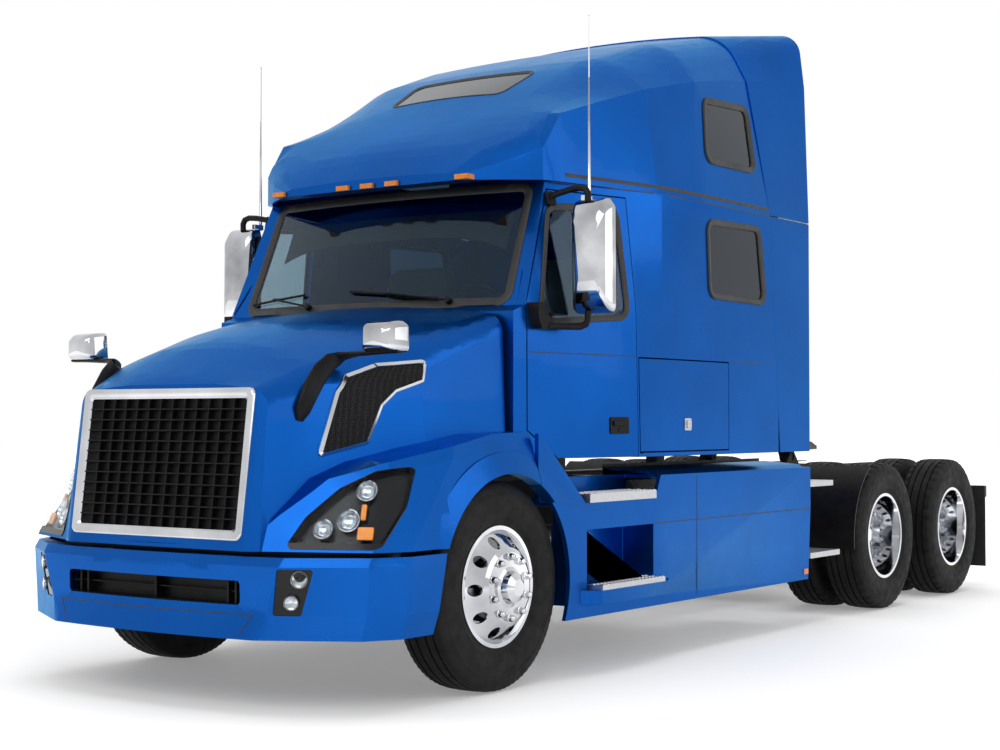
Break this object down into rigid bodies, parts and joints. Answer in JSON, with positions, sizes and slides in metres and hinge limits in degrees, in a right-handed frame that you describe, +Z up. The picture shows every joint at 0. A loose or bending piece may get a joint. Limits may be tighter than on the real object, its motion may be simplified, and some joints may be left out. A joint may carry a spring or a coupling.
{
  "type": "semi truck tractor unit",
  "caption": "Long-nosed sleeper-cab tractor unit with tilting hood, opening doors, steered front wheels, dual drive wheels and a fifth wheel coupling.",
  "frame": {"origin": "on the ground under the middle of the overall box", "axes": "+X to the truck's left, +Y to its rear, +Z up"},
  "size_m": [2.756, 7.9, 3.9049],
  "materials": {
    "aluminium": "polished aluminium",
    "amber_lens": "amber lens",
    "black_metal": "satin black",
    "black_plastic": "grained black",
    "blue_paint": "metallic blue gloss",
    "cast_steel": "rough painted casting",
    "chrome": "polished chrome",
    "clear_glass": "clear",
    "rubber": "black rubber",
    "seat_fabric": "dark grey cloth",
    "tinted_glass": "dark tinted",
    "trim_grey": "grey interior trim",
    "tyre_rubber": "black tread rubber"
  },
  "bodies": {
    "chassis": {"bunk": "seat_fabric", "cab_back_wall": "blue_paint", "cab_cowl": "blue_paint", "cab_floor": "trim_grey", "cab_side_panels": "blue_paint", "crossmembers": "black_metal", "dashboard": "trim_grey", "drive_axle_housings": "cast_steel", "drive_shafts": "black_metal", "engine_block": "cast_steel", "fifth_wheel_base": "cast_steel", "fog_lamps": "clear_glass", "frame_rails": "black_metal", "front_axle_beam": "cast_steel", "front_bumper": "blue_paint", "fuel_tanks": "aluminium", "marker_lamps": "amber_lens", "mudflaps": "rubber", "quarter_fenders": "black_plastic", "radiator": "aluminium", "rear_fairings": "blue_paint", "roof_cap": "blue_paint", "seats": "seat_fabric", "side_skirts": "blue_paint", "skylight": "tinted_glass", "sleeper_windows": "tinted_glass", "steering_wheel": "black_plastic", "steps": "aluminium", "suspension": "black_metal", "tail_lamps": "amber_lens", "windscreen": "tinted_glass"},
    "hood": {"hood_shell": "blue_paint", "grille": "chrome", "headlamps": "clear_glass", "hood_vents": "black_plastic", "hood_mirrors": "chrome"},
    "door_left": {"door_left": "blue_paint", "door_glass_left": "tinted_glass", "door_mirror_left": "chrome"},
    "luggage_door_left": {"luggage_door_left": "blue_paint"},
    "steering_knuckle_left": {"knuckle_left": "cast_steel"},
    "front_wheel_left": {"front_tyre_left": "tyre_rubber", "front_wheel_left": "chrome"},
    "drive_wheel_forward_left": {"dual_tyres_forward_left": "tyre_rubber", "dual_wheel_forward_left": "chrome"},
    "drive_wheel_rearward_left": {"dual_tyres_rearward_left": "tyre_rubber", "dual_wheel_rearward_left": "chrome"},
    "door_right": {"door_right": "blue_paint", "door_glass_right": "tinted_glass", "door_mirror_right": "chrome"},
    "luggage_door_right": {"luggage_door_right": "blue_paint"},
    "steering_knuckle_right": {"knuckle_right": "cast_steel"},
    "front_wheel_right": {"front_tyre_right": "tyre_rubber", "front_wheel_right": "chrome"},
    "drive_wheel_forward_right": {"dual_tyres_forward_right": "tyre_rubber", "dual_wheel_forward_right": "chrome"},
    "drive_wheel_rearward_right": {"dual_tyres_rearward_right": "tyre_rubber", "dual_wheel_rearward_right": "chrome"},
    "fifth_wheel": {"fifth_wheel_plate": "cast_steel"}
  },
  "joints": [
    {"name": "hood_tilt", "type": "hinge", "parent": "chassis", "child": "hood", "pos_m": [0, -3.92, 0.66], "axis": [1, 0, 0], "range_deg": [0, 60]},
    {"name": "door_left_swing", "type": "hinge", "parent": "chassis", "child": "door_left", "pos_m": [1.052, -2.295, 1.6], "axis": [0, 0, -1], "range_deg": [0, 70]},
    {"name": "luggage_door_left_lift", "type": "hinge", "parent": "chassis", "child": "luggage_door_left", "pos_m": [1.221, -0.924, 1.675], "axis": [0, -1, 0], "range_deg": [0, 80]},
    {"name": "steering_left", "type": "hinge", "parent": "chassis", "child": "steering_knuckle_left", "pos_m": [0.885, -2.7, 0.515], "axis": [0, 0, 1], "range_deg": [-40, 40]},
    {"name": "front_wheel_left_spin", "type": "hinge", "parent": "steering_knuckle_left", "child": "front_wheel_left", "pos_m": [1.04, -2.7, 0.515], "axis": [1, 0, 0], "continuous": true},
    {"name": "drive_wheel_forward_left_spin", "type": "hinge", "parent": "chassis", "child": "drive_wheel_forward_left", "pos_m": [0.9335, 1.92, 0.515], "axis": [1, 0, 0], "continuous": true},
    {"name": "drive_wheel_rearward_left_spin", "type": "hinge", "parent": "chassis", "child": "drive_wheel_rearward_left", "pos_m": [0.9335, 3.216, 0.515], "axis": [1, 0, 0], "continuous": true},
    {"name": "door_right_swing", "type": "hinge", "parent": "chassis", "child": "door_right", "pos_m": [-1.052, -2.295, 1.6], "axis": [0, 0, 1], "range_deg": [0, 70]},
    {"name": "luggage_door_right_lift", "type": "hinge", "parent": "chassis", "child": "luggage_door_right", "pos_m": [-1.221, -0.924, 1.675], "axis": [0, 1, 0], "range_deg": [0, 80]},
    {"name": "steering_right", "type": "hinge", "parent": "chassis", "child": "steering_knuckle_right", "pos_m": [-0.885, -2.7, 0.515], "axis": [0, 0, 1], "range_deg": [-40, 40]},
    {"name": "front_wheel_right_spin", "type": "hinge", "parent": "steering_knuckle_right", "child": "front_wheel_right", "pos_m": [-1.04, -2.7, 0.515], "axis": [1, 0, 0], "continuous": true},
    {"name": "drive_wheel_forward_right_spin", "type": "hinge", "parent": "chassis", "child": "drive_wheel_forward_right", "pos_m": [-0.9335, 1.92, 0.515], "axis": [1, 0, 0], "continuous": true},
    {"name": "drive_wheel_rearward_right_spin", "type": "hinge", "parent": "chassis", "child": "drive_wheel_rearward_right", "pos_m": [-0.9335, 3.216, 0.515], "axis": [1, 0, 0], "continuous": true},
    {"name": "fifth_wheel_rock", "type": "hinge", "parent": "chassis", "child": "fifth_wheel", "pos_m": [0, 2.2, 1.055], "axis": [1, 0, 0], "range_deg": [-12, 12]}
  ],
  "couplings": [
    {"joint": "steering_right", "follows": "steering_left", "ratio": 1}
  ]
}
